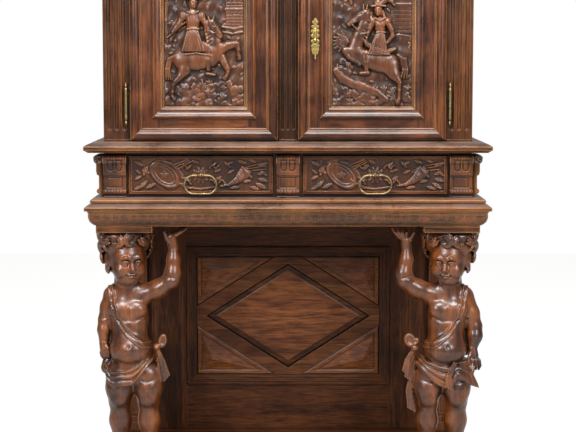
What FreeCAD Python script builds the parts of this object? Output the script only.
import FreeCAD, Part
import math
import os
import Sketcher

# Carved walnut cabinet on a figure stand. Millimetres, X to the right, Y to the back, Z up.
# The origin lies on the floor, in the middle of the plan of the widest mouldings.

SIZES = {
    # overall form
    "overall_width": 1200,
    "overall_depth": 500,
    "case_setback": 55,
    "back_board_thickness": 8,
    # plinth and feet
    "foot_height": 50,
    "foot_radius": 52,
    "foot_inset": 48,
    "plinth_height": 140,
    "plinth_board_thickness": 22,
    "plinth_base_thickness": 16,
    # open stand
    "figure_height": 696,
    "figure_setback": 57,
    "abacus_height": 19,
    "abacus_width": 167,
    "abacus_depth": 160,
    "abacus_projection": 24,
    "soffit_thickness": 12,
    "cornice_height": 86,
    "stand_board_thickness": 22,
    "rear_post_width": 72,
    "rear_post_depth": 60,
    "rear_post_inset": 17,
    "post_base_height": 62,
    "post_base_projection": 9,
    # panelled back of the stand
    "back_frame_thickness": 22,
    "back_panel_foot": 148,
    "back_panel_height": 454,
    "back_stile_width": 126,
    "panel_band_width": 33,
    "lozenge_side_margin": 30,
    "lozenge_head_margin": 23,
    "lozenge_joint": 0.1,
    "lozenge_strip_width": 42,
    "lozenge_strip_thickness": 19,
    "lozenge_moulding_width": 28,
    "corner_panel_margin": 5,
    # drawer case
    "drawer_case_height": 133,
    "case_board_thickness": 20,
    "front_thickness": 22,
    "drawer_post_width": 71,
    "middle_post_width": 86,
    "drawer_rail_setback": 6,
    "drawer_lower_rail": 7,
    "drawer_upper_rail": 9,
    "divider_thickness": 20,
    "runner_width": 22,
    "guide_width": 20,
    "guide_height": 30,
    "console_width": 66,
    "console_height": 126,
    "console_projection": 37,
    # drawers and their ring pulls
    "drawer_gap": 2.5,
    "drawer_clearance": 0.3,
    "drawer_front_proud": 8,
    "drawer_front_thickness": 18,
    "drawer_border": 9,
    "drawer_field_recess": 4,
    "drawer_box_inset": 4,
    "drawer_back_clearance": 47,
    "drawer_side_thickness": 12,
    "drawer_side_drop": 4.5,
    "drawer_bottom_thickness": 7,
    "rosette_radius": 20,
    "rosette_thickness": 9,
    "eye_shank_radius": 2.5,
    "eye_wire_radius": 2.2,
    "pull_height_share": 0.5,
    "pull_standoff": 15,
    "pull_width": 100,
    "pull_drop": 60,
    "pull_wire_radius": 2.8,
    "pull_play": 0.4,
    # waist shelf
    "waist_height": 32,
    # upper case
    "pilaster_width": 78,
    "mullion_width": 54,
    "pilaster_foot_height": 5,
    "pilaster_foot_proud": 3,
    "flute_pitch": 22,
    "flute_radius": 6.5,
    "flute_depth": 5,
    "mullion_flute_pitch": 16.5,
    "mullion_flute_radius": 4.6,
    "flute_margin": 38,
    "side_stile_width": 84,
    "side_rail_width": 92,
    "side_panel_thickness": 10,
    "side_panel_recess": 7,
    "head_rail_height": 34,
    "head_rail_thickness": 18,
    "frieze_height": 59.5,
    "top_cornice_height": 78,
    "top_board_thickness": 18,
    "shelf_thickness": 18,
    "shelf_level": 300,
    "shelf_setback": 70,
    "cleat_height": 22,
    "cleat_width": 20,
    "stop_width": 40,
    "stop_height": 18,
    "stop_depth": 15,
    "stop_play": 0.3,
    # doors
    "door_gap": 2.5,
    "door_foot_gap": 4,
    "door_height": 596,
    "door_proud": 12,
    "door_thickness": 28,
    "door_frame_width": 92,
    "door_outer_ring": 36,
    "door_ring_seat": 28,
    "door_ring_lip": 8,
    "door_panel_thickness": 12,
    "door_panel_recess": 8,
    "mitre_kerf": 0.2,
    # door hardware
    "hinge_offset": 11,
    "hinge_radius": 5,
    "hinge_pin_radius": 3,
    "hinge_bore_play": 0.05,
    "hinge_knuckle_length": 43,
    "hinge_finial_length": 20,
    "hinge_end_distance": 105.5,
    "hinge_leaf_thickness": 2.4,
    "hinge_leaf_depth": 23,
    "hinge_slot_play": 0.1,
    "knuckle_play": 0.2,
    "face_play": 0.5,
    "escutcheon_offset": 50.5,
    "escutcheon_width": 24,
    "escutcheon_height": 120,
    "escutcheon_thickness": 2.2,
    "keyhole_radius": 3.5,
    "keyhole_drop": 11,
    "lock_width": 62,
    "lock_height": 76,
    "lock_depth": 18,
    "lock_edge": 3.5,
    "bolt_height": 21,
    "bolt_thickness": 7,
    "bolt_length": 36,
    "bolt_play": 0.3,
    "strike_thickness": 1.5,
    "strike_width": 22,
    "strike_height": 40,
    "shoot_plate_thickness": 2.5,
    "shoot_plate_width": 34,
    "shoot_plate_height": 70,
    "shoot_bolt_width": 12,
    "shoot_bolt_thickness": 6,
    "shoot_bolt_length": 110,
    "staple_wall": 3,
    "staple_height": 10,
}

doc = FreeCAD.newDocument("carved_cabinet")
sheet = doc.addObject("Spreadsheet::Sheet", "Sizes")
for row, (alias, value) in enumerate(SIZES.items(), start=1):
    sheet.set(f"A{row}", alias)
    sheet.set(f"B{row}", str(value))
    sheet.setAlias(f"B{row}", alias)
doc.recompute()

Vector = FreeCAD.Vector
nodes = {}


class Dim:
    """A length that carries its spreadsheet expression and its value in millimetres."""

    def __init__(self, text, value):
        self.text = text
        self.value = value

    def __add__(self, other):
        other = dim(other)
        return Dim(f"({self.text} + {other.text})", self.value + other.value)

    def __sub__(self, other):
        other = dim(other)
        return Dim(f"({self.text} - {other.text})", self.value - other.value)

    def __mul__(self, other):
        other = dim(other)
        return Dim(f"({self.text} * {other.text})", self.value * other.value)

    def __truediv__(self, other):
        other = dim(other)
        return Dim(f"({self.text} / {other.text})", self.value / other.value)

    def __radd__(self, other):
        return dim(other) + self

    def __rsub__(self, other):
        return dim(other) - self

    def __rmul__(self, other):
        return dim(other) * self

    def __neg__(self):
        return Dim(f"(0 - {self.text})", -self.value)

    def __float__(self):
        return self.value


def dim(quantity):
    """A plain number as a Dim, and a Dim as it is."""
    if isinstance(quantity, Dim):
        return quantity
    return Dim(f"({float(quantity)})", float(quantity))


def size(alias):
    """The Dim of one spreadsheet cell."""
    return Dim(f"Sizes.{alias}", float(sheet.get(alias)))


def bind_base(thing, x, y, z):
    """Bind a placement's base point to three Dims."""
    for axis, length in zip("xyz", (x, y, z)):
        thing.setExpression(f"Placement.Base.{axis}", dim(length).text)


def board(label, x, y, z):
    """A straight board between two planes on each axis."""
    box = doc.addObject("Part::Box", label)
    for side, (low, high) in zip(("Length", "Width", "Height"), (x, y, z)):
        box.setExpression(side, (dim(high) - low).text)
    bind_base(box, x[0], y[0], z[0])
    return box


def mirrored(label, x, y, z):
    """A board on the right and its twin on the left."""
    right = board(f"{label}_r", x, y, z)
    left = board(f"{label}_l", (-x[1], -x[0]), y, z)
    return [left, right]


def rod(label, radius, length, x, y, z, rotation):
    """A round bar from its base point along the rotated Z axis."""
    bar = doc.addObject("Part::Cylinder", label)
    bar.setExpression("Radius", dim(radius).text)
    bar.setExpression("Height", dim(length).text)
    bar.Placement = FreeCAD.Placement(Vector(), rotation)
    bind_base(bar, x, y, z)
    return bar


def ball(label, radius, x, y, z):
    """A ball about its centre."""
    sphere = doc.addObject("Part::Sphere", label)
    sphere.setExpression("Radius", dim(radius).text)
    bind_base(sphere, x, y, z)
    return sphere


def fuse(label, pieces):
    """Pieces joined into one solid."""
    joined = doc.addObject("Part::MultiFuse", label)
    joined.Shapes = pieces
    joined.Refine = True
    return joined


def cut(label, base, tool):
    """A piece less another one."""
    rest = doc.addObject("Part::Cut", label)
    rest.Base = base
    rest.Tool = tool
    return rest


def gather(label, pieces):
    """Separate solids kept together under one name."""
    group = doc.addObject("Part::Compound", label)
    group.Links = pieces
    return group


def node(label, pieces):
    """Register a sub-part, one solid or several, under its file name."""
    if len(pieces) == 1:
        pieces[0].Label = label
        nodes[label] = pieces[0]
    else:
        nodes[label] = gather(label, pieces)
    return nodes[label]


def draw(sketch, corners, arcs, closed):
    """Draw lines and arcs through corners, each corner bound to its two Dims.

    arcs maps the number of an edge to (radius, counterclockwise).
    """
    count = len(corners)
    edges = count if closed else count - 1
    spots = [Vector(float(dim(x)), float(dim(y)), 0) for x, y in corners]
    starts = []
    ends = []
    for number in range(edges):
        first = spots[number]
        second = spots[(number + 1) % count]
        if number in arcs:
            radius, turn_left = arcs[number]
            chord = second - first
            rise = math.sqrt(max(float(dim(radius)) ** 2 - (chord.Length / 2) ** 2, 0))
            side = Vector(-chord.y, chord.x, 0)
            side.normalize()
            centre = (first + second) * 0.5 + side * (rise if turn_left else -rise)
            angles = [math.atan2(p.y - centre.y, p.x - centre.x) for p in (first, second)]
            if not turn_left:
                angles.reverse()
            circle = Part.Circle(centre, Vector(0, 0, 1), float(dim(radius)))
            sketch.addGeometry(Part.ArcOfCircle(circle, angles[0], angles[1]), False)
            starts.append(1 if turn_left else 2)
            ends.append(2 if turn_left else 1)
        else:
            sketch.addGeometry(Part.LineSegment(first, second), False)
            starts.append(1)
            ends.append(2)
    for number in range(edges if closed else edges - 1):
        follower = (number + 1) % edges
        sketch.addConstraint(
            Sketcher.Constraint("Coincident", number, ends[number], follower, starts[follower])
        )
    for number, corner in enumerate(corners):
        edge, point = (number, starts[number]) if number < edges else (number - 1, ends[number - 1])
        for kind, length in zip(("DistanceX", "DistanceY"), corner):
            bound = Sketcher.Constraint(kind, -1, 1, edge, point, float(dim(length)))
            place = sketch.addConstraint(bound)
            sketch.setExpression(f"Constraints[{place}]", dim(length).text)
    for number, (radius, turn_left) in arcs.items():
        place = sketch.addConstraint(Sketcher.Constraint("Radius", number, float(dim(radius))))
        sketch.setExpression(f"Constraints[{place}]", dim(radius).text)


def outline(label, corners, arcs=None, closed=True):
    """A free sketch of lines and arcs in its own XY plane."""
    sketch = doc.addObject("Sketcher::SketchObject", label)
    draw(sketch, corners, arcs or {}, closed)
    return sketch


def body_sketch(body, role, corners, arcs=None):
    """A sketch attached to one of a body's own origin planes."""
    sketch = body.newObject("Sketcher::SketchObject", f"{body.Name}_sketch")
    plane = [part for part in body.Origin.OriginFeatures if part.Role == role][0]
    sketch.AttachmentSupport = [(plane, "")]
    sketch.MapMode = "FlatFace"
    draw(sketch, corners, arcs or {}, True)
    return sketch


def turned(label, corners, arcs=None):
    """A piece turned about the Z axis from its half profile of (radius, height)."""
    body = doc.addObject("PartDesign::Body", label)
    sketch = body_sketch(body, "XZ_Plane", corners, arcs)
    spin = body.newObject("PartDesign::Revolution", f"{label}_turning")
    spin.Profile = sketch
    spin.ReferenceAxis = (sketch, ["V_Axis"])
    spin.Angle = 360
    body.Tip = spin
    return body


def padded(label, role, corners, length, arcs=None):
    """A flat outline on an origin plane padded to a length, half to each side."""
    body = doc.addObject("PartDesign::Body", label)
    sketch = body_sketch(body, role, corners, arcs)
    pad = body.newObject("PartDesign::Pad", f"{label}_pad")
    pad.Profile = sketch
    pad.SideType = "Symmetric"
    pad.setExpression("Length", dim(length).text)
    body.Tip = pad
    return body


UP = FreeCAD.Rotation()
TO_BACK = FreeCAD.Rotation(Vector(1, 0, 0), -90)
TO_RIGHT = FreeCAD.Rotation(Vector(0, 1, 0), 90)
# maps a sketch's x and y to world X and Z
FRONT_VIEW = FreeCAD.Rotation(Vector(1, 0, 0), Vector(0, 0, 1), Vector(0, -1, 0), "XYZ")
# maps a sketch's x to world Z and its y to the front
FRAME_SECTION = FreeCAD.Rotation(Vector(0, 0, 1), Vector(0, -1, 0), Vector(1, 0, 0), "XYZ")


def wrapped_moulding(label, profile, arcs, half_width, front, back, foot, reach, height):
    """Three mitred lengths of one profile round the front and both sides of a case.

    profile gives (projection, height) from the case face and the foot of the moulding.
    """
    section = outline(f"{label}_section", [(-dim(out), rise) for out, rise in profile],
                      {edge: (radius, not left) for edge, (radius, left) in arcs.items()})
    section.Placement = FreeCAD.Placement(Vector(), FRONT_VIEW)
    bind_base(section, -half_width, back, foot)
    path = outline(f"{label}_path", [(-half_width, back), (-half_width, front),
                                     (half_width, front), (half_width, back)], closed=False)
    bind_base(path, 0, 0, foot)
    sweep = doc.addObject("Part::Sweep", f"{label}_run")
    sweep.Sections = [section]
    sweep.Spine = (path, ["Edge1", "Edge2", "Edge3"])
    sweep.Solid = True
    sweep.Transition = "Right corner"
    kerfs = []
    kerf = size("mitre_kerf")
    for name, corner_x, angle in (("l", -half_width, 225), ("r", half_width, 315)):
        saw = doc.addObject("Part::Box", f"{label}_kerf_{name}")
        saw.setExpression("Length", (reach * 1.6).text)
        saw.setExpression("Width", kerf.text)
        saw.setExpression("Height", (height + 2).text)
        saw.Placement = FreeCAD.Placement(Vector(), FreeCAD.Rotation(Vector(0, 0, 1), angle))
        run = Vector(math.cos(math.radians(angle)), math.sin(math.radians(angle)), 0)
        bind_base(saw, corner_x - run.x + kerf * (run.y / 2), front - run.y - kerf * (run.x / 2), foot - 1)
        kerfs.append(saw)
    return cut(f"{label}_lengths", sweep, gather(f"{label}_kerfs", kerfs))


def framed_moulding(label, profile, arcs, x, z, face, reach):
    """Four mitred lengths of one profile inside a rectangle that faces the front.

    profile gives (inset, projection) from the rectangle's edge and from the face plane.
    """
    section = outline(f"{label}_section", profile, arcs)
    section.Placement = FreeCAD.Placement(Vector(), FRAME_SECTION)
    middle = (x[0] + x[1]) / 2
    bind_base(section, middle, face, z[0])
    path = outline(f"{label}_path", [(middle, z[0]), (x[1], z[0]), (x[1], z[1]),
                                     (x[0], z[1]), (x[0], z[0])])
    path.Placement = FreeCAD.Placement(Vector(), FRONT_VIEW)
    bind_base(path, 0, face, 0)
    sweep = doc.addObject("Part::Sweep", f"{label}_run")
    sweep.Sections = [section]
    sweep.Spine = (path, [f"Edge{number}" for number in range(1, 6)])
    sweep.Solid = True
    sweep.Transition = "Right corner"
    kerf = size("mitre_kerf")
    kerfs = []
    for number, (corner_x, corner_z, angle) in enumerate(
        ((x[0], z[0], 45), (x[1], z[0], 135), (x[1], z[1], 225), (x[0], z[1], 315))
    ):
        saw = doc.addObject("Part::Box", f"{label}_kerf_{number}")
        saw.setExpression("Length", (reach * 1.6).text)
        saw.Width = 80
        saw.setExpression("Height", kerf.text)
        saw.Placement = FreeCAD.Placement(Vector(), FreeCAD.Rotation(Vector(0, 1, 0), -angle))
        run_x = math.cos(math.radians(angle))
        run_z = math.sin(math.radians(angle))
        bind_base(saw, corner_x - run_x + kerf * (run_z / 2), face - 40, corner_z - run_z - kerf * (run_x / 2))
        kerfs.append(saw)
    return cut(f"{label}_lengths", sweep, gather(f"{label}_kerfs", kerfs))


def facetted(label, rim, apex, seat, edge):
    """A panel with a flat back on the seat plane, an upright edge and facets up to one apex.

    rim lists (x, z) in order, apex is (x, z, y), and edge is the rim's thickness.
    """
    seat = float(seat)
    back_ring = [Vector(float(x), seat, float(z)) for x, z in rim]
    front_ring = [Vector(p.x, seat - float(edge), p.z) for p in back_ring]
    peak = Vector(float(apex[0]), float(apex[2]), float(apex[1]))
    faces = [Part.Face(Part.makePolygon(back_ring + back_ring[:1]))]
    for number in range(len(rim)):
        after = (number + 1) % len(rim)
        sides = [back_ring[number], back_ring[after], front_ring[after], front_ring[number]]
        faces.append(Part.Face(Part.makePolygon(sides + sides[:1])))
        facet = [front_ring[number], front_ring[after], peak]
        faces.append(Part.Face(Part.makePolygon(facet + facet[:1])))
    solid = Part.Solid(Part.Shell(faces))
    if solid.Volume < 0:
        solid.reverse()
    panel = doc.addObject("Part::Feature", label)
    panel.Shape = solid
    return panel


# shared planes and levels
half = size("overall_width") / 2
front = -size("overall_depth") / 2
back = size("overall_depth") / 2
setback = size("case_setback")
case_half = half - setback
case_front = front + setback
inner_back = back - size("back_board_thickness")
floor_top = size("plinth_height")
abacus_foot = floor_top + size("figure_height")
cornice_foot = abacus_foot + size("abacus_height")
drawer_floor = cornice_foot + size("cornice_height")
waist_foot = drawer_floor + size("drawer_case_height")
waist_top = waist_foot + size("waist_height")
door_foot = waist_top + size("door_foot_gap")
door_head = door_foot + size("door_height")
head_foot = door_head + size("door_gap")
frieze_foot = head_foot + size("head_rail_height")
top_foot = frieze_foot + size("frieze_height")
top = top_foot + size("top_cornice_height")
front_back = case_front + size("front_thickness")

# four flattened bun feet
foot_height = size("foot_height")
foot_radius = size("foot_radius")
feet = []
for name, foot_x, foot_y in (
    ("fl", -case_half + size("foot_inset"), case_front + size("foot_inset")),
    ("fr", case_half - size("foot_inset"), case_front + size("foot_inset")),
    ("bl", -case_half + size("foot_inset"), back - size("foot_inset") - 6),
    ("br", case_half - size("foot_inset"), back - size("foot_inset") - 6),
):
    foot = turned(f"foot_{name}", [
        (0, 0), (foot_radius * 0.6, 0), (foot_radius * 0.6, foot_height * 0.84),
        (foot_radius * 0.76, foot_height * 0.88), (foot_radius * 0.76, foot_height), (0, foot_height),
    ], {1: (foot_height * 0.44, True)})
    bind_base(foot, foot_x, foot_y, 0)
    feet.append(foot)
node("bun_feet", feet)

# plinth: a base board on the feet, moulded skirts, a back rail and the floor of the stand
plinth_rise = floor_top - foot_height
plinth_board_foot = floor_top - size("plinth_board_thickness")
plinth_base_top = foot_height + size("plinth_base_thickness")
node("plinth_moulding", [wrapped_moulding("plinth", [
    (0, 0), (46, 0), (46, 36), (42, 40), (30, 62), (26, 64), (26, 69), (18, 76), (18, plinth_rise),
    (0, plinth_rise),
], {3: (16, False), 6: (8.4, True)}, case_half, case_front, back, foot_height, setback, plinth_rise)])
node("plinth_boards", [
    board("plinth_base_board", (-case_half, case_half), (case_front, back), (foot_height, plinth_base_top)),
    board("plinth_rail", (-case_half, case_half), (back - 20, back), (plinth_base_top, plinth_board_foot)),
    board("plinth_floor_board", (-case_half, case_half), (case_front, back), (plinth_board_foot, floor_top)),
])

# rear posts with stepped bases and caps
post_outer = case_half - size("rear_post_inset")
post_inner = post_outer - size("rear_post_width")
post_front = back - size("rear_post_depth")
base_rise = size("post_base_height")
swell = size("post_base_projection")
posts = []
for name, low, high, out_l, out_r in (("l", -post_outer, -post_inner, 1, 0), ("r", post_inner, post_outer, 0, 1)):
    steps = [board(f"post_shaft_{name}", (low, high), (post_front, back), (floor_top, cornice_foot))]
    for number, (share, foot_z, head_z) in enumerate((
        (1.0, floor_top, floor_top + base_rise * 0.5),
        (0.62, floor_top + base_rise * 0.5, floor_top + base_rise * 0.8),
        (0.3, floor_top + base_rise * 0.8, floor_top + base_rise),
        (0.4, cornice_foot - base_rise * 0.6, cornice_foot - base_rise * 0.3),
        (0.9, cornice_foot - base_rise * 0.3, cornice_foot),
    )):
        spread = swell * share
        steps.append(board(f"post_step_{name}{number}", (low - spread * out_l, high + spread * out_r),
                           (post_front - spread, back), (foot_z, head_z)))
    posts.append(fuse(f"rear_post_{name}", steps))
node("rear_posts", posts)

# panelled back: backing board, stiles, rails, mitred band, lozenge work and facetted corners
panel_half = post_inner - size("back_stile_width")
panel_foot = floor_top + size("back_panel_foot")
panel_head = panel_foot + size("back_panel_height")
panel_middle = (panel_foot + panel_head) / 2
frame_face = inner_back - size("back_frame_thickness")
node("stand_back_board", [board("stand_backing", (-post_inner, post_inner), (inner_back, back),
                                (floor_top, cornice_foot))])
node("stand_back_frame", mirrored("back_stile", (panel_half, post_inner), (frame_face, inner_back),
                                  (floor_top, cornice_foot)) + [
    board("back_rail_low", (-panel_half, panel_half), (frame_face, inner_back), (floor_top, panel_foot)),
    board("back_rail_high", (-panel_half, panel_half), (frame_face, inner_back), (panel_head, cornice_foot)),
])
band = size("panel_band_width")
node("back_panel_band", [framed_moulding("back_band", [
    (0, 0), (0, 27), (5, 28), (9, 26), (11, 22), (20, 22), (24, 18), (band, 15), (band, 0),
], {2: (5.5, False)}, (-panel_half, panel_half), (panel_foot, panel_head), inner_back, band)])

field_half = panel_half - band
field_foot = panel_foot + band
field_head = panel_head - band
opening_half = field_half - size("lozenge_side_margin")
opening_rise = field_head - panel_middle - size("lozenge_head_margin")
joint = size("lozenge_joint")
slant = math.hypot(float(opening_half), float(opening_rise))
# how far a parallel offset moves the points of the lozenge along its two diagonals
reach_x = Dim(f"sqrt({opening_half.text} ^ 2 + {opening_rise.text} ^ 2)", slant) / opening_rise
reach_z = Dim(f"sqrt({opening_half.text} ^ 2 + {opening_rise.text} ^ 2)", slant) / opening_half
strip = size("lozenge_strip_width")
outer_half = opening_half + strip * reach_x
outer_rise = opening_rise + strip * reach_z
field_rise = field_head - panel_middle
notch_z = outer_rise * (1 - field_half / outer_half)
notch_x = outer_half * (1 - field_rise / outer_rise)
strips = []
for number, (side_x, side_z) in enumerate(((1, 1), (-1, 1), (-1, -1), (1, -1))):
    corners = [(side_x * (opening_half + joint * 3), panel_middle), (side_x * field_half, panel_middle),
               (side_x * field_half, panel_middle + side_z * notch_z),
               (side_x * notch_x, panel_middle + side_z * field_rise),
               (side_x * joint, panel_middle + side_z * field_rise),
               (side_x * joint, panel_middle + side_z * (opening_rise + joint * 2))]
    rough = outline(f"lozenge_outline_{number}", corners)
    rough.Placement = FreeCAD.Placement(Vector(), FRONT_VIEW)
    bind_base(rough, 0, inner_back, 0)
    length = doc.addObject("Part::Extrusion", f"lozenge_strip_{number}")
    length.Base = rough
    length.DirMode = "Custom"
    length.Dir = Vector(0, -1, 0)
    length.setExpression("LengthFwd", size("lozenge_strip_thickness").text)
    length.Solid = True
    strips.append(length)
node("lozenge_strips", strips)

moulding_width = size("lozenge_moulding_width")
core_half = opening_half - moulding_width * reach_x
core_rise = opening_rise - moulding_width * reach_z
slopes = []
for number, (side_x, side_z) in enumerate(((1, 1), (-1, 1), (-1, -1), (1, -1))):
    ends = []
    for at_side in (True, False):
        ring = []
        for share, depth in ((0, 0), (0, 23), (0.25, 25), (0.55, 17), (1, 11), (1, 0)):
            spread = opening_half + (core_half - opening_half) * share
            lift = opening_rise + (core_rise - opening_rise) * share
            flank_x = side_x * float(spread if at_side else joint)
            flank_z = float(panel_middle) + side_z * float(joint if at_side else lift)
            ring.append(Vector(flank_x, float(inner_back) - depth, flank_z))
        ends.append(Part.makePolygon(ring + ring[:1]))
    slope = doc.addObject("Part::Feature", f"lozenge_slope_{number}")
    slope.Shape = Part.makeLoft(ends, True, True)
    slopes.append(slope)
node("lozenge_moulding", slopes)

corner_margin = size("corner_panel_margin")
corner_x = field_half - corner_margin
corner_z = field_rise - corner_margin
leg_x = notch_x + corner_margin * 3
leg_z = notch_z + corner_margin * 2
panels = [facetted("lozenge_core", [
    (core_half, panel_middle), (0, panel_middle + core_rise), (-core_half, panel_middle),
    (0, panel_middle - core_rise),
], (0, panel_middle, inner_back - 15), inner_back, 9)]
for number, (side_x, side_z) in enumerate(((1, 1), (-1, 1), (-1, -1), (1, -1))):
    panels.append(facetted(f"corner_panel_{number}", [
        (side_x * corner_x, panel_middle + side_z * corner_z),
        (side_x * leg_x, panel_middle + side_z * corner_z),
        (side_x * corner_x, panel_middle + side_z * leg_z),
    ], (side_x * (corner_x * 0.68 + leg_x * 0.32), panel_middle + side_z * (corner_z * 0.68 + leg_z * 0.32),
        inner_back - 20), inner_back, 9))
node("back_panels", panels)

# abacus blocks between the figures' heads and the cornice
abacus_outer = case_half + size("abacus_projection")
abacus_inner = abacus_outer - size("abacus_width")
abacus_front = case_front - size("abacus_projection")
abacus_back = abacus_front + size("abacus_depth")
node("abacus_blocks", mirrored("abacus", (abacus_inner, abacus_outer), (abacus_front, abacus_back),
                               (abacus_foot, cornice_foot)))

# two carved child figures: lofted limbs, rounded head and hair, loincloth and knotted bow
figure_x = (abacus_inner + abacus_outer) / 2
figure_y = case_front + size("figure_setback")
tall = float(size("figure_height")) / 696


def figure_point(side, spot):
    """World point of a figure's own (inward, forward, upward) spot."""
    inward, forward, upward = spot
    return Vector(side * (float(figure_x) - inward * tall), float(figure_y) - forward * tall,
                  float(floor_top) + upward * tall)


def limb(side, rings):
    """A smooth loft through oval rings of (spot, lean in degrees, half width, half depth)."""
    wires = []
    for spot, lean, wide, deep in rings:
        tilt = math.radians(lean)
        points = []
        for step in range(8):
            turn = step * math.pi / 4
            across = wide * math.cos(turn)
            points.append(figure_point(side, (
                spot[0] + across * math.cos(tilt), spot[1] + deep * math.sin(turn),
                spot[2] - across * math.sin(tilt))))
        curve = Part.BSplineCurve()
        curve.interpolate(points, PeriodicFlag=True)
        wires.append(Part.Wire([curve.toShape()]))
    return Part.makeLoft(wires, True)


def ovoid(side, spot, radii):
    """An egg-shaped mass with its three half lengths."""
    matrix = FreeCAD.Matrix()
    matrix.scale(radii[0] * tall, radii[1] * tall, radii[2] * tall)
    mass = Part.makeSphere(1).transformGeometry(matrix)
    mass.translate(figure_point(side, spot))
    return mass


def putto(label, side):
    """One standing child figure with its inner arm raised to the cornice."""
    torso = limb(side, [
        ((14, 2, 236), 0, 60, 46), ((15, 2, 268), 0, 76, 54), ((13, 8, 325), 0, 68, 58),
        ((6, 4, 388), 0, 53, 50), ((3, 0, 440), 0, 58, 50), ((1, -3, 478), 0, 60, 46),
        ((0, -3, 502), 0, 48, 38), ((0, -1, 520), 0, 33, 32), ((0, 2, 560), 0, 31, 32),
    ])
    outer_leg = limb(side, [
        ((-22, 4, 262), 0, 40, 44), ((-25, 10, 216), 0, 38, 42), ((-27, 14, 165), 0, 33, 34),
        ((-25, 6, 128), 0, 32, 33), ((-24, 0, 88), 0, 31, 33), ((-26, -4, 40), 0, 23, 25),
        ((-26, 0, 6), 0, 25, 30),
    ])
    inner_leg = limb(side, [
        ((58, 4, 262), 0, 40, 44), ((64, 10, 216), 0, 38, 42), ((63, 14, 165), 0, 32, 34),
        ((64, 6, 128), 0, 29, 32), ((64, 0, 88), 0, 28, 32), ((65, -4, 40), 0, 22, 25),
        ((66, 0, 6), 0, 24, 30),
    ])
    hanging_arm = limb(side, [
        ((-46, -2, 506), 0, 20, 22), ((-58, -2, 480), 8, 25, 25), ((-66, -2, 440), 6, 24, 24),
        ((-70, 0, 413), 2, 22, 22), ((-73, 2, 385), 2, 23, 22), ((-73, 5, 342), 0, 16, 15),
        ((-71, 8, 318), -4, 18, 12),
    ])
    raised_upper = limb(side, [
        ((30, -2, 486), 62, 30, 26), ((58, 0, 500), 62, 28, 26), ((95, 6, 520), 60, 25, 25),
        ((128, 12, 538), 55, 24, 24),
    ])
    raised_fore = limb(side, [
        ((136, 12, 530), 8, 23, 23), ((141, 12, 560), 6, 24, 23), ((145, 9, 605), 3, 20, 20),
        ((147, 6, 651), 8, 15, 16), ((154, 4, 684), 22, 20, 15), ((166, 2, 706), 40, 20, 18),
        ((180, 0, 719), 52, 12, 18),
    ])
    masses = [
        outer_leg, inner_leg, hanging_arm, raised_upper, raised_fore,
        ovoid(side, (133, 12, 541), (26, 25, 25)),
        ovoid(side, (2, 14, 606), (52, 54, 70)),
        ovoid(side, (2, -4, 640), (77, 66, 62)),
        ovoid(side, (-42, -10, 592), (27, 46, 40)),
        ovoid(side, (48, -10, 592), (27, 46, 40)),
        ovoid(side, (-28, 26, 14), (27, 50, 24)),
        ovoid(side, (70, 26, 14), (27, 50, 24)),
        limb(side, [((14, 4, 208), 0, 86, 56), ((15, 3, 268), 0, 92, 60), ((16, 5, 316), 0, 78, 62)]),
        ovoid(side, (103, 30, 346), (27, 22, 24)),
        limb(side, [((112, 26, 232), 0, 15, 11), ((114, 24, 290), 0, 17, 14), ((104, 28, 350), 0, 13, 12)]),
    ]
    whole = torso.multiFuse(masses)
    below = Part.makeBox(600, 600, 100, Vector(side * float(figure_x) - 300, float(figure_y) - 300,
                                               float(floor_top) - 100))
    above = Part.makeBox(float(size("abacus_width")) + 20, 600, 200,
                         Vector(side * float(figure_x) - float(size("abacus_width")) / 2 - 10,
                                float(figure_y) - 300, float(abacus_foot)))
    soffit = Part.makeBox(600, 600, 200, Vector(side * float(figure_x) - 300, float(figure_y) - 300,
                                                float(cornice_foot)))
    for limit in (below, above, soffit):
        whole = whole.cut(limit)
    figure = doc.addObject("Part::Feature", f"{label}_form")
    figure.Shape = max(whole.Solids, key=lambda solid: solid.Volume)
    node(label, [figure])


putto("left_putto", -1)
putto("right_putto", 1)

# moulded cornice of the stand, with the boards inside it
cornice_rise = size("cornice_height")
node("stand_cornice", [wrapped_moulding("stand_cornice_run", [
    (0, 0), (23, 0), (25, 4), (43, 40), (46, 42), (46, 46), (setback, 48), (setback, 58), (37, 66),
    (34, 68), (34, 71), (39, 72), (39, 79), (12, cornice_rise), (0, cornice_rise),
], {2: (33, True)}, case_half, case_front, back, cornice_foot, setback, cornice_rise)])
stand_board_foot = drawer_floor - size("stand_board_thickness")
soffit_top = cornice_foot + size("soffit_thickness")
node("stand_boards", [
    board("stand_soffit", (-case_half, case_half), (case_front, back), (cornice_foot, soffit_top)),
    board("stand_rail", (-case_half, case_half), (back - 22, back), (soffit_top, stand_board_foot)),
    board("stand_top", (-case_half, case_half), (case_front, back), (stand_board_foot, drawer_floor)),
])

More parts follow.
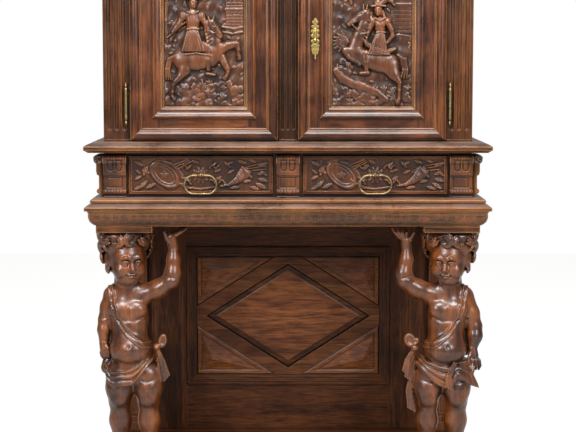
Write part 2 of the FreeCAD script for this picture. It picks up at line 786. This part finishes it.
# drawer case: sides, back, divider, front posts and rails, runners, guides and kickers
side_board = size("case_board_thickness")
case_inner = case_half - side_board
node("drawer_case_sides", mirrored("drawer_side_wall", (case_inner, case_half), (front_back, inner_back),
                                   (drawer_floor, waist_foot)))
node("drawer_case_back", [board("drawer_case_back_board", (-case_half, case_half), (inner_back, back),
                                (drawer_floor, waist_foot))])
post_edge = case_half - size("drawer_post_width")
middle_half = size("middle_post_width") / 2
lower_rail_top = drawer_floor + size("drawer_lower_rail")
upper_rail_foot = waist_foot - size("drawer_upper_rail")
rail_face = case_front + size("drawer_rail_setback")
node("drawer_front_posts", mirrored("drawer_post", (post_edge, case_half), (case_front, front_back),
                                    (drawer_floor, waist_foot))
     + [board("drawer_post_m", (-middle_half, middle_half), (case_front, front_back),
              (drawer_floor, waist_foot))])
node("drawer_rails", mirrored("drawer_rail_low", (middle_half, post_edge), (rail_face, front_back),
                              (drawer_floor, lower_rail_top))
     + mirrored("drawer_rail_high", (middle_half, post_edge), (rail_face, front_back),
                (upper_rail_foot, waist_foot)))
divider_half = size("divider_thickness") / 2
node("drawer_divider", [board("drawer_divider_board", (-divider_half, divider_half), (front_back, inner_back),
                              (drawer_floor, waist_foot))])
drawer_low = middle_half + size("drawer_gap")
drawer_high = post_edge - size("drawer_gap")
box_low = drawer_low + size("drawer_box_inset")
box_high = drawer_high - size("drawer_box_inset")
drawer_foot = lower_rail_top + size("drawer_gap")
drawer_head = upper_rail_foot - size("drawer_gap")
box_head = drawer_head - size("drawer_side_drop")
clear = size("drawer_clearance")
runner = size("runner_width")
guide_head = drawer_floor + size("guide_height")
guide = size("guide_width")
run_depth = (front_back, inner_back)
runner_levels = (drawer_floor, drawer_foot - clear)
guide_levels = (drawer_floor, guide_head)
kicker_levels = (box_head + clear, waist_foot)
node("drawer_runners", mirrored("runner_in", (box_low, box_low + runner), run_depth, runner_levels)
     + mirrored("runner_out", (box_high - runner, box_high), run_depth, runner_levels)
     + mirrored("guide_in", (box_low - clear - guide, box_low - clear), run_depth, guide_levels)
     + mirrored("guide_out", (box_high + clear, box_high + clear + guide), run_depth, guide_levels)
     + mirrored("kicker_in", (box_low, box_low + runner), run_depth, kicker_levels)
     + mirrored("kicker_out", (box_high - runner, box_high), run_depth, kicker_levels))

# scroll consoles on the front posts and on the sides of the drawer case
console_wide = size("console_width")
console_tall = size("console_height")
reach = size("console_projection")
stem = reach * 0.46
volute = reach * 0.43
scroll = [(0, 0), (stem, 0), (stem, reach * 0.52), (stem, console_tall * 0.52),
          (reach * 0.62, console_tall * 0.57), (reach * 0.62, console_tall - volute * 2),
          (reach - volute, console_tall), (0, console_tall)]


def scroll_arcs():
    """Radii of the small lower scroll and of the upper volute, by edge."""
    return {1: (reach * 0.27, True), 5: (volute * 1.03, True)}


front_consoles = []
for name, centre in (("l", -case_half + console_wide / 2), ("m", dim(0)), ("r", case_half - console_wide / 2)):
    console = padded(f"front_console_{name}", "YZ_Plane", [(-out, rise) for out, rise in scroll],
                     console_wide, {edge: (radius, not left) for edge, (radius, left) in scroll_arcs().items()})
    bind_base(console, centre, case_front, drawer_floor)
    front_consoles.append(console)
node("front_consoles", front_consoles)

side_consoles = []
for name, depth in (("f", case_front + console_wide / 2), ("b", back - console_wide / 2)):
    right = padded(f"side_console_r{name}", "XZ_Plane", scroll, console_wide, scroll_arcs())
    bind_base(right, case_half, depth, drawer_floor)
    left = padded(f"side_console_l{name}", "XZ_Plane", [(-out, rise) for out, rise in scroll], console_wide,
                  {edge: (radius, not left) for edge, (radius, left) in scroll_arcs().items()})
    bind_base(left, -case_half, depth, drawer_floor)
    side_consoles += [left, right]
node("side_consoles", side_consoles)

# waist shelf
waist_rise = size("waist_height")
node("waist_board", [board("waist_core", (-case_half, case_half), (case_front, back), (waist_foot, waist_top))])
node("waist_moulding", [wrapped_moulding("waist_run", [
    (0, 0), (43, 0), (48, 4), (setback, 8), (setback, 18.5), (24, waist_rise - 3), (20, waist_rise),
    (0, waist_rise),
], {4: (46, True)}, case_half, case_front, back, waist_foot, setback, waist_rise)])

# upper case: panelled sides, back, fluted pilasters, head rail, frieze, cornice, top and shelf
side_rail = size("side_rail_width")
side_stile = size("side_stile_width")
wall_front = front_back
side_frames = []
for name, low, high in (("l", -case_half, -case_inner), ("r", case_inner, case_half)):
    side_frames += [
        board(f"side_stile_f{name}", (low, high), (wall_front, wall_front + side_stile), (waist_top, top_foot)),
        board(f"side_stile_b{name}", (low, high), (inner_back - side_stile, inner_back), (waist_top, top_foot)),
        board(f"side_rail_low_{name}", (low, high), (wall_front + side_stile, inner_back - side_stile),
              (waist_top, waist_top + side_rail)),
        board(f"side_rail_high_{name}", (low, high), (wall_front + side_stile, inner_back - side_stile),
              (frieze_foot - side_rail, top_foot)),
    ]
node("upper_side_frames", side_frames)
panel_out = case_half - size("side_panel_recess")
node("upper_side_panels", mirrored("side_panel", (panel_out - size("side_panel_thickness"), panel_out),
                                   (wall_front + side_stile, inner_back - side_stile),
                                   (waist_top + side_rail, frieze_foot - side_rail)))
node("upper_back", [board("upper_back_board", (-case_half, case_half), (inner_back, back),
                          (waist_top, top_foot))])

pilaster_edge = case_half - size("pilaster_width")
mullion_half = size("mullion_width") / 2
hinge_x = pilaster_edge + size("hinge_offset")
hinge_radius = size("hinge_radius")
hinge_y = case_front - size("face_play") - hinge_radius
leaf = size("hinge_leaf_thickness")
leaf_depth = size("hinge_leaf_depth")
knuckle = size("hinge_knuckle_length")
leaf_margin = 4
slot_play = size("hinge_slot_play")
hinge_levels = [door_foot + size("hinge_end_distance"), door_head - size("hinge_end_distance")]
flute_foot = waist_top + size("flute_margin")
flute_head = frieze_foot - size("flute_margin")


def fluted(label, low, high, foot, head, centres, radius, slots):
    """A pilaster with a raised foot, stopped flutes and slots for hinge leaves."""
    depth = size("flute_depth")
    proud = size("pilaster_foot_proud")
    stock = fuse(f"{label}_stock", [
        board(f"{label}_shaft", (low, high), (case_front, front_back), (foot, head)),
        board(f"{label}_foot", (low, high), (case_front - proud, front_back),
              (foot, foot + size("pilaster_foot_height"))),
    ])
    axis_y = case_front - radius + depth
    tools = list(slots)
    for number, centre in enumerate(centres):
        tools.append(rod(f"{label}_flute_{number}", radius, flute_head - flute_foot, centre, axis_y,
                         flute_foot, UP))
        tools.append(ball(f"{label}_flute_low_{number}", radius, centre, axis_y, flute_foot))
        tools.append(ball(f"{label}_flute_high_{number}", radius, centre, axis_y, flute_head))
    return cut(f"{label}_form", stock, fuse(f"{label}_flutes", tools))


pilasters = []
for name, sign in (("l", -1), ("r", 1)):
    slots = []
    for number, level in enumerate(hinge_levels):
        slots.append(board(f"pilaster_slot_{name}{number}",
                           (sign * hinge_x - leaf / 2 - slot_play, sign * hinge_x + leaf / 2 + slot_play),
                           (case_front - 1, hinge_y + leaf_depth + slot_play),
                           (level - knuckle + leaf_margin - slot_play, level - leaf_margin + slot_play)))
    middle = sign * (pilaster_edge + case_half) / 2
    edges = (pilaster_edge, case_half) if sign > 0 else (-case_half, -pilaster_edge)
    pitch = size("flute_pitch")
    pilasters.append(fluted(f"pilaster_{name}", edges[0], edges[1], waist_top, frieze_foot,
                            [middle - pitch, middle, middle + pitch], size("flute_radius"), slots))
node("outer_pilasters", pilasters)
fine_pitch = size("mullion_flute_pitch")
node("centre_pilaster", [fluted("mullion", -mullion_half, mullion_half, waist_top, head_foot,
                                [-fine_pitch, dim(0), fine_pitch], size("mullion_flute_radius"), [])])
head_back = case_front + size("head_rail_thickness")
node("head_boards", [
    board("head_rail", (-pilaster_edge, pilaster_edge), (case_front, head_back), (head_foot, frieze_foot)),
    board("frieze_front", (-case_half, case_half), (case_front, front_back), (frieze_foot, top_foot)),
])
top_rise = size("top_cornice_height")
node("top_cornice", [wrapped_moulding("top_cornice_run", [
    (0, 0), (7, 0), (7, 8), (13, 11), (34, 38), (36, 43), (48, 46), (setback, 50), (setback, 62), (51, 65),
    (45, top_rise), (0, top_rise),
], {3: (40, False)}, case_half, case_front, back, top_foot, setback, top_rise)])
cap_foot = top - size("top_board_thickness")
node("top_boards", [
    board("ceiling_board", (-case_inner, case_inner), (front_back, inner_back),
          (top_foot - size("top_board_thickness"), top_foot)),
    board("top_cap", (-case_half, case_half), (case_front, back), (cap_foot, top)),
    board("cornice_rail", (-case_half, case_half), (back - 20, back), (top_foot, cap_foot)),
])
shelf_foot = waist_top + size("shelf_level")
node("inner_shelf", [board("shelf_board", (-case_inner, case_inner),
                           (front_back + size("shelf_setback"), inner_back),
                           (shelf_foot, shelf_foot + size("shelf_thickness")))])
cleat_low = shelf_foot - size("cleat_height")
node("shelf_cleats", [
    board(f"cleat_{name}", span, (front_back + size("shelf_setback"), inner_back), (cleat_low, shelf_foot))
    for name, span in (("l", (-case_inner, -case_inner + size("cleat_width"))),
                       ("r", (case_inner - size("cleat_width"), case_inner)))
])

# door stops on the waist board
door_front = case_front - size("door_proud")
door_back = door_front + size("door_thickness")
door_low = mullion_half + size("door_gap")
door_high = pilaster_edge - size("door_gap")
stop_middle = (door_low + door_high) / 2
stop_half = size("stop_width") / 2
node("door_stops", mirrored("door_stop", (stop_middle - stop_half, stop_middle + stop_half),
                            (door_back + size("stop_play"), door_back + size("stop_play") + size("stop_depth")),
                            (waist_top, waist_top + size("stop_height"))))

# hinges: turned barrels with a pin on the case half and a bored barrel on the door half
pin = size("hinge_pin_radius")
bore = pin + size("hinge_bore_play")
finial = size("hinge_finial_length")
play = size("knuckle_play")


def hinge_halves(name, sign, level, number):
    """The case half with its pin and the door half with its bore, at one level."""
    lower = turned(f"hinge_low_{name}{number}", [
        (0, -knuckle - finial), (hinge_radius * 0.3, -knuckle - finial),
        (hinge_radius * 0.85, -knuckle - finial * 0.62), (hinge_radius * 0.4, -knuckle - finial * 0.3),
        (hinge_radius * 0.9, -knuckle - finial * 0.12), (hinge_radius, -knuckle), (hinge_radius, -play),
        (pin, -play), (pin, knuckle * 0.8), (0, knuckle * 0.8),
    ])
    bind_base(lower, sign * hinge_x, hinge_y, level)
    upper = turned(f"hinge_high_{name}{number}", [
        (bore, play), (hinge_radius, play), (hinge_radius, knuckle),
        (hinge_radius * 0.9, knuckle + finial * 0.12), (hinge_radius * 0.4, knuckle + finial * 0.3),
        (hinge_radius * 0.85, knuckle + finial * 0.62), (hinge_radius * 0.3, knuckle + finial),
        (0, knuckle + finial), (0, knuckle * 0.85), (bore, knuckle * 0.85),
    ])
    bind_base(upper, sign * hinge_x, hinge_y, level)
    tail = board(f"hinge_tail_{name}{number}", (sign * hinge_x - leaf / 2, sign * hinge_x + leaf / 2),
                 (hinge_y + pin, hinge_y + leaf_depth), (level - knuckle + leaf_margin, level - leaf_margin))
    reach_in = door_high - leaf_depth
    span = (reach_in, hinge_x - bore - 0.8) if sign > 0 else (-hinge_x + bore + 0.8, -reach_in)
    strap = board(f"hinge_strap_{name}{number}", span, (hinge_y - leaf / 2, hinge_y + leaf / 2),
                  (level + leaf_margin, level + knuckle - leaf_margin))
    return fuse(f"case_half_{name}{number}", [lower, tail]), fuse(f"door_half_{name}{number}", [upper, strap])


case_halves = []
door_halves = {"l": [], "r": []}
for name, sign in (("l", -1), ("r", 1)):
    for number, level in enumerate(hinge_levels):
        fixed_half, moving_half = hinge_halves(name, sign, level, number)
        case_halves.append(fixed_half)
        door_halves[name].append(moving_half)
node("hinge_case_halves", case_halves)
node("left_door_hinges", door_halves["l"])
node("right_door_hinges", door_halves["r"])

# doors: framed stiles and rails, two rings of mitred mouldings and a panel
frame_width = size("door_frame_width")
panel_face = door_front + size("door_panel_recess")
lock_level = (door_foot + door_head) / 2
key_x = door_low + size("escutcheon_offset")
keyhole = size("keyhole_radius")


def door(name, label, sign):
    """The wooden parts of one door."""
    span = (door_low, door_high) if sign > 0 else (-door_high, -door_low)
    levels = (door_foot, door_head)
    hinge_side = (door_high - frame_width, door_high) if sign > 0 else (-door_high, -door_high + frame_width)
    meeting_side = (door_low, door_low + frame_width) if sign > 0 else (-door_low - frame_width, -door_low)
    depth = (door_front, door_back)
    slots = []
    for number, level in enumerate(hinge_levels):
        reach_in = door_high - leaf_depth - slot_play
        mouth = (reach_in, door_high + 1) if sign > 0 else (-door_high - 1, -reach_in)
        slots.append(board(f"door_slot_{name}{number}", mouth,
                           (hinge_y - leaf / 2 - slot_play, hinge_y + leaf / 2 + slot_play),
                           (level + leaf_margin - slot_play, level + knuckle - leaf_margin + slot_play)))
    stiles = [
        cut(f"hinge_stile_{name}", board(f"hinge_stile_stock_{name}", hinge_side, depth, levels),
            gather(f"hinge_slots_{name}", slots)),
        board(f"meeting_stile_{name}", meeting_side, depth, levels),
    ]
    if sign > 0:
        eye = rod("keyhole_round", keyhole, size("door_thickness") + 2, key_x, door_front - 1, lock_level, TO_BACK)
        slit = board("keyhole_slit", (key_x - keyhole / 2, key_x + keyhole / 2),
                     (door_front - 1, door_back + 1), (lock_level - size("keyhole_drop"), lock_level))
        stiles[1] = cut("meeting_stile_keyed", stiles[1], fuse("keyhole_form", [eye, slit]))
    inner = (span[0] + frame_width, span[1] - frame_width)
    rails = [
        board(f"door_rail_low_{name}", inner, depth, (door_foot, door_foot + frame_width)),
        board(f"door_rail_high_{name}", inner, depth, (door_head - frame_width, door_head)),
    ]
    node(f"{label}_frame", stiles + rails)
    ring = size("door_outer_ring")
    outer_ring = framed_moulding(f"outer_ring_{name}", [
        (0, 0), (0, 5), (2, 6), (ring - 9, 6), (ring - 7, 4), (ring - 2, 3), (ring, 0),
    ], {2: (ring * 0.4, False)}, span, levels, door_front, ring)
    seat = size("door_ring_seat")
    lip = size("door_ring_lip")
    recess = size("door_panel_recess")
    start = frame_width - seat
    inner_ring = framed_moulding(f"inner_ring_{name}", [
        (0, 0), (0, 5), (3, 8), (10, 8), (13, 5), (seat - 1, 1.5), (seat + lip / 2, -recess / 2),
        (seat + lip, -recess / 2), (seat + lip, -recess), (seat, -recess), (seat, 0),
    ], {2: (4.4, False), 4: (24, True)}, (span[0] + start, span[1] - start),
        (door_foot + start, door_head - start), door_front, seat + lip)
    node(f"{label}_mouldings", [outer_ring, inner_ring])
    node(f"{label}_panel", [board(f"door_panel_{name}", inner,
                                  (panel_face, panel_face + size("door_panel_thickness")),
                                  (door_foot + frame_width, door_head - frame_width))])


door("l", "left_door", -1)
door("r", "right_door", 1)

# key escutcheon, rim lock with its bolt, and the plate that the bolt slides behind
plate_half = size("escutcheon_width") / 2
plate_tall = size("escutcheon_height") / 2
plate_face = door_front - size("escutcheon_thickness")
blank = fuse("escutcheon_blank", [
    board("escutcheon_strip", (key_x - plate_half * 0.62, key_x + plate_half * 0.62), (plate_face, door_front),
          (lock_level - plate_tall, lock_level + plate_tall)),
    board("escutcheon_wing", (key_x - plate_half, key_x + plate_half), (plate_face, door_front),
          (lock_level - plate_tall * 0.55, lock_level + plate_tall * 0.55)),
])
piercing = fuse("escutcheon_piercing", [
    rod("escutcheon_round", keyhole, size("escutcheon_thickness") + 2, key_x, plate_face - 1, lock_level, TO_BACK),
    board("escutcheon_slit", (key_x - keyhole / 2, key_x + keyhole / 2), (plate_face - 1, door_front + 1),
          (lock_level - size("keyhole_drop"), lock_level)),
])
node("key_escutcheon", [cut("escutcheon_plate", blank, piercing)])

lock_low = door_low + size("lock_edge")
lock_foot = lock_level - size("lock_height") / 2
bolt_play = size("bolt_play")
bolt_face = front_back + size("strike_thickness") + 0.5
bolt_x = (lock_low + 0.5, lock_low + 0.5 + size("bolt_length"))
bolt_y = (bolt_face, bolt_face + size("bolt_thickness"))
bolt_z = (lock_level - size("bolt_height") / 2, lock_level + size("bolt_height") / 2)
channel = board("lock_channel", (lock_low - 1, bolt_x[1] + 1), (bolt_y[0] - bolt_play, bolt_y[1] + bolt_play),
                (bolt_z[0] - bolt_play, bolt_z[1] + bolt_play))
node("lock_case", [cut("lock_box", board("lock_stock", (lock_low, lock_low + size("lock_width")),
                                         (door_back, door_back + size("lock_depth")),
                                         (lock_foot, lock_foot + size("lock_height"))), channel)])
node("lock_bolt", [board("lock_bolt_bar", bolt_x, bolt_y, bolt_z)])
node("strike_plate", [board("strike", (mullion_half - 1 - size("strike_width"), mullion_half - 1),
                            (front_back, front_back + size("strike_thickness")),
                            (lock_level - size("strike_height") / 2, lock_level + size("strike_height") / 2))])

# shoot bolt inside the left door, with its plate and staples
shoot_x = -(door_low + frame_width * 0.4)
shoot_half = size("shoot_bolt_width") / 2
plate_back = door_back + size("shoot_plate_thickness")
shoot_y = (plate_back + bolt_play, plate_back + bolt_play + size("shoot_bolt_thickness"))
shoot_head = door_head - 2
shoot_foot = shoot_head - size("shoot_bolt_length")
plate_head = door_head - 22
plate_foot = plate_head - size("shoot_plate_height")
wall = size("staple_wall")
guides = [board("shoot_plate", (shoot_x - size("shoot_plate_width") / 2, shoot_x + size("shoot_plate_width") / 2),
                (door_back, plate_back), (plate_foot, plate_head))]
for number, staple_foot in enumerate((plate_foot + 4, plate_head - 4 - size("staple_height"))):
    block = board(f"staple_block_{number}",
                  (shoot_x - shoot_half - bolt_play - wall, shoot_x + shoot_half + bolt_play + wall),
                  (plate_back, shoot_y[1] + bolt_play + wall), (staple_foot, staple_foot + size("staple_height")))
    gap = board(f"staple_gap_{number}", (shoot_x - shoot_half - bolt_play, shoot_x + shoot_half + bolt_play),
                (plate_back - 1, shoot_y[1] + bolt_play),
                (staple_foot - 1, staple_foot + size("staple_height") + 1))
    guides.append(cut(f"staple_{number}", block, gap))
node("shoot_bolt_guides", guides)
node("shoot_bolt", [board("shoot_bolt_bar", (shoot_x - shoot_half, shoot_x + shoot_half), shoot_y,
                          (shoot_foot, shoot_head))])

# drawers: bordered front, box of sides, back and bottom, rosette with eye, and ring pull
drawer_face = case_front - size("drawer_front_proud")
drawer_front_back = drawer_face + size("drawer_front_thickness")
box_end = inner_back - size("drawer_back_clearance")
lining = size("drawer_side_thickness")
border = size("drawer_border")
recess = size("drawer_field_recess")
pull_wire = size("pull_wire_radius")
pull_axis_z = drawer_foot + (drawer_head - drawer_foot) * size("pull_height_share")
field_face = drawer_face + recess
pull_axis_y = drawer_face - size("pull_standoff")
eye_ring = pull_wire + size("pull_play") + size("eye_wire_radius")


def drawer(name, label, sign):
    """One drawer with its pull."""
    span = (drawer_low, drawer_high) if sign > 0 else (-drawer_high, -drawer_low)
    box = (box_low, box_high) if sign > 0 else (-box_high, -box_low)
    middle = sign * (drawer_low + drawer_high) / 2
    slab = board(f"drawer_slab_{name}", span, (drawer_face, drawer_front_back), (drawer_foot, drawer_head))
    field = board(f"drawer_field_{name}", (span[0] + border, span[1] - border), (drawer_face - 1, field_face),
                  (drawer_foot + border, drawer_head - border))
    node(f"{label}_front", [cut(f"drawer_face_{name}", slab, field)])
    depth = (drawer_front_back, box_end)
    bottom_top = drawer_foot + size("drawer_bottom_thickness")
    node(f"{label}_box", [
        board(f"drawer_left_{name}", (box[0], box[0] + lining), depth, (drawer_foot, box_head)),
        board(f"drawer_right_{name}", (box[1] - lining, box[1]), depth, (drawer_foot, box_head)),
        board(f"drawer_back_{name}", (box[0] + lining, box[1] - lining), (box_end - lining, box_end),
              (drawer_foot, box_head)),
        board(f"drawer_bottom_{name}", (box[0] + lining, box[1] - lining), (drawer_front_back, box_end - lining),
              (drawer_foot, bottom_top)),
    ])
    rose_face = field_face - size("rosette_thickness")
    rose = rod(f"rosette_{name}", size("rosette_radius"), size("rosette_thickness"), middle, rose_face,
               pull_axis_z, TO_BACK)
    shank = rod(f"eye_shank_{name}", size("eye_shank_radius"), rose_face - pull_axis_y - eye_ring, middle,
                pull_axis_y + eye_ring, pull_axis_z, TO_BACK)
    loop = doc.addObject("Part::Torus", f"eye_loop_{name}")
    loop.setExpression("Radius1", eye_ring.text)
    loop.setExpression("Radius2", size("eye_wire_radius").text)
    loop.Placement = FreeCAD.Placement(Vector(), TO_RIGHT)
    bind_base(loop, middle, pull_axis_y, pull_axis_z)
    node(f"{label}_pull_mount", [rose, fuse(f"pull_eye_{name}", [shank, loop])])
    bend = (size("pull_drop") - pull_wire * 2) / 2
    straight = size("pull_width") / 2 - pull_wire - bend
    path = outline(f"pull_path_{name}", [
        (0, 0), (straight, 0), (straight + bend, -bend), (straight, -bend * 2), (-straight, -bend * 2),
        (-straight - bend, -bend), (-straight, 0),
    ], {1: (bend, False), 2: (bend, False), 4: (bend, False), 5: (bend, False)})
    path.Placement = FreeCAD.Placement(Vector(), FRONT_VIEW)
    bind_base(path, middle, pull_axis_y, pull_axis_z)
    section = doc.addObject("Part::Circle", f"pull_section_{name}")
    section.setExpression("Radius", pull_wire.text)
    section.Placement = FreeCAD.Placement(Vector(), TO_RIGHT)
    bind_base(section, middle, pull_axis_y, pull_axis_z)
    ring = doc.addObject("Part::Sweep", f"pull_ring_{name}")
    ring.Sections = [section]
    ring.Spine = (path, [f"Edge{number}" for number in range(1, 8)])
    ring.Solid = True
    node(f"{label}_ring", [ring])


drawer("l", "left_drawer", -1)
drawer("r", "right_drawer", 1)

doc.recompute()
for part in doc.Objects:
    if "Invalid" in part.State or "Error" in part.State:
        raise RuntimeError(f"{part.Label} did not compute")
os.makedirs("parts", exist_ok=True)
for label, part in nodes.items():
    shape = part.Shape
    if shape.isNull() or not shape.isValid() or not shape.Solids:
        raise RuntimeError(f"{label} has no valid solid")
    shape.exportStep(f"parts/{label}.step")
print(len(nodes), "sub-parts written")
